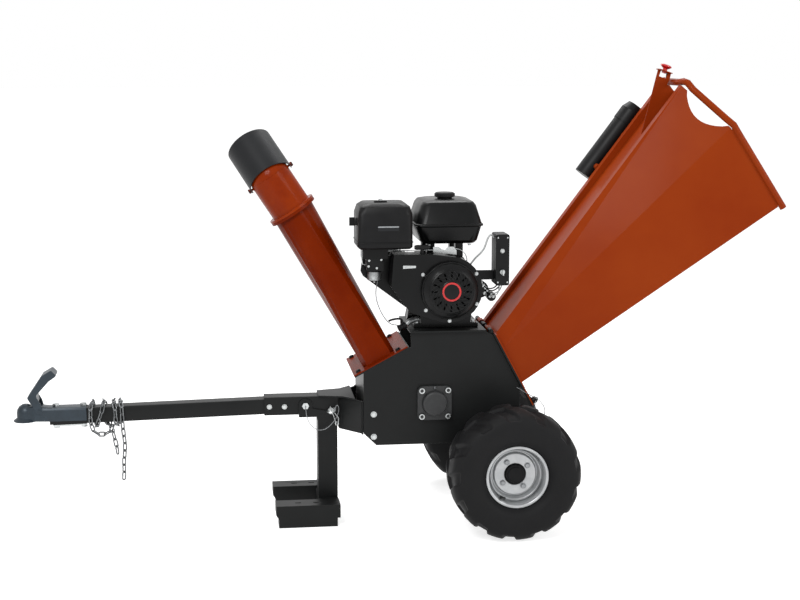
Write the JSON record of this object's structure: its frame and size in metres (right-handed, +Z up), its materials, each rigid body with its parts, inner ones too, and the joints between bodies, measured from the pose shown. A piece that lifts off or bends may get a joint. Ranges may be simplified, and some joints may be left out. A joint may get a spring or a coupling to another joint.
{
  "type": "petrol wood chipper",
  "caption": "Towable petrol wood chipper with a feed hopper, a drum rotor under the engine, a swivelling discharge chute, two wheels, a parking leg and a ball coupler.",
  "frame": {"origin": "on the floor, under the middle of the bounding box", "axes": "+X from the tow coupler towards the feed hopper, +Y towards the belt side, +Z up"},
  "size_m": [2.4052, 0.788, 1.4417],
  "materials": {
    "belt_rubber": "matte",
    "black_paint": "satin",
    "black_plastic": "matte",
    "cast_iron": "matte",
    "coupler_paint": "satin",
    "engine_alloy": "matte",
    "engine_black": "satin",
    "grey_plastic": "satin",
    "hub_black": "satin",
    "orange_paint": "gloss",
    "red_plastic": "gloss",
    "rim_silver": "satin",
    "steel": "satin",
    "tyre_rubber": "matte",
    "zinc": "satin"
  },
  "bodies": {
    "chassis": {"air_filter_cover": "black_plastic", "anvil_bar": "steel", "axle_beam": "black_paint", "bearing_far": "cast_iron", "bearing_near": "cast_iron", "belt_guard": "black_paint", "blower_housing": "engine_black", "carburettor": "engine_alloy", "control_box": "black_plastic", "coupler_body": "coupler_paint", "coupler_clamp": "zinc", "crankcase": "engine_black", "cylinder": "engine_alloy", "drawbar_sleeve": "black_paint", "drawbar_tube": "black_paint", "drive_belt": "belt_rubber", "engine_deck": "black_paint", "fuel_tank": "engine_black", "leg_lanyard": "steel", "leg_pivot_bolt": "zinc", "lower_chute": "orange_paint", "muffler": "engine_black", "rear_lanyard": "steel", "recoil_starter": "engine_black", "rotor_housing": "black_paint", "safety_chain": "zinc", "side_plate_far": "black_paint", "side_plate_near": "black_paint", "starter_motor": "engine_black", "throat_flange": "black_paint", "tow_bracket": "black_paint"},
    "choke": {"choke_lever": "zinc"},
    "hood": {"chute_hood": "grey_plastic"},
    "crank": {"clutch_pulley": "cast_iron", "crankshaft": "steel"},
    "coupler_handle": {"coupler_handle": "coupler_paint"},
    "document_cap": {"document_cap": "black_plastic"},
    "hopper": {"document_tube": "black_plastic", "hopper_shell": "orange_paint", "mouth_hoop": "orange_paint", "stop_bracket": "orange_paint"},
    "fuel_cap": {"fuel_cap": "black_plastic"},
    "wheel_far": {"hub_far": "hub_black", "rim_far": "rim_silver", "tyre_far": "tyre_rubber"},
    "wheel_near": {"hub_near": "hub_black", "rim_near": "rim_silver", "tyre_near": "tyre_rubber"},
    "key_switch": {"key_switch": "zinc"},
    "leg": {"leg_feet": "black_paint", "parking_leg": "black_paint"},
    "leg_pin": {"leg_pin": "zinc"},
    "rear_pin": {"rear_pin": "black_plastic"},
    "rotor": {"rotor_drum": "cast_iron", "rotor_knife_1": "steel", "rotor_knife_2": "steel", "rotor_pulley": "cast_iron"},
    "starter_handle": {"starter_handle": "black_plastic"},
    "stop_button": {"stop_button": "red_plastic"},
    "chute": {"upper_chute": "orange_paint"}
  },
  "joints": [
    {"name": "wheel_near_spin", "type": "hinge", "parent": "chassis", "child": "wheel_near", "pos_m": [0.33099, -0.2995, 0.203], "axis": [0, 1, 0], "continuous": true},
    {"name": "wheel_far_spin", "type": "hinge", "parent": "chassis", "child": "wheel_far", "pos_m": [0.33099, 0.2995, 0.203], "axis": [0, 1, 0], "continuous": true},
    {"name": "rotor_spin", "type": "hinge", "parent": "chassis", "child": "rotor", "pos_m": [0.10899, 0, 0.39], "axis": [0, 1, 0], "continuous": true},
    {"name": "crank_spin", "type": "hinge", "parent": "chassis", "child": "crank", "pos_m": [0.15299, 0, 0.75], "axis": [0, 1, 0], "continuous": true},
    {"name": "chute_swivel", "type": "hinge", "parent": "chassis", "child": "chute", "pos_m": [-0.32301, 0, 0.9885], "axis": [-0.5476, 0, 0.8368], "range_deg": [-180, 180]},
    {"name": "hood_tilt", "type": "hinge", "parent": "chute", "child": "hood", "pos_m": [-0.38981, 0, 1.09058], "axis": [0.8368, 0, 0.5476], "range_deg": [-20, 35]},
    {"name": "hopper_tilt", "type": "hinge", "parent": "chassis", "child": "hopper", "pos_m": [0.29103, 0, 0.61082], "axis": [0, -1, 0], "range_deg": [0, 15]},
    {"name": "leg_fold", "type": "hinge", "parent": "chassis", "child": "leg", "pos_m": [-0.29001, 0, 0.367], "axis": [0, 1, 0], "range_deg": [0, 90]},
    {"name": "leg_pin_pull", "type": "slide", "parent": "chassis", "child": "leg_pin", "axis": [0, -1, 0], "range_m": [0, 0.09]},
    {"name": "rear_pin_pull", "type": "slide", "parent": "hopper", "child": "rear_pin", "axis": [0.8829, 0, 0.4695], "range_m": [0, 0.02]},
    {"name": "coupler_handle_lift", "type": "hinge", "parent": "chassis", "child": "coupler_handle", "pos_m": [-1.12101, 0, 0.373], "axis": [0, 1, 0], "range_deg": [0, 30]},
    {"name": "stop_button_press", "type": "slide", "parent": "hopper", "child": "stop_button", "axis": [-0.3162, 0, -0.9487], "range_m": [0, 0.003], "stiffness_N_per_m": 600},
    {"name": "document_cap_pull", "type": "slide", "parent": "hopper", "child": "document_cap", "axis": [0.6005, 0, 0.7997], "range_m": [0, 0.09]},
    {"name": "fuel_cap_turn", "type": "hinge", "parent": "chassis", "child": "fuel_cap", "pos_m": [0.15699, -0.02, 1.0223], "axis": [0, 0, 1], "range_deg": [0, 90]},
    {"name": "key_turn", "type": "hinge", "parent": "chassis", "child": "key_switch", "pos_m": [0.32299, -0.1353, 0.8], "axis": [0, 1, 0], "range_deg": [0, 90]},
    {"name": "choke_swing", "type": "hinge", "parent": "chassis", "child": "choke", "pos_m": [0.01299, -0.1583, 0.824], "axis": [0, 1, 0], "range_deg": [-15, 20]},
    {"name": "starter_pull", "type": "slide", "parent": "chassis", "child": "starter_handle", "axis": [0, 0, 1], "range_m": [0, 0.3]}
  ],
  "couplings": [
    {"joint": "crank_spin", "follows": "rotor_spin", "ratio": 1.5}
  ]
}
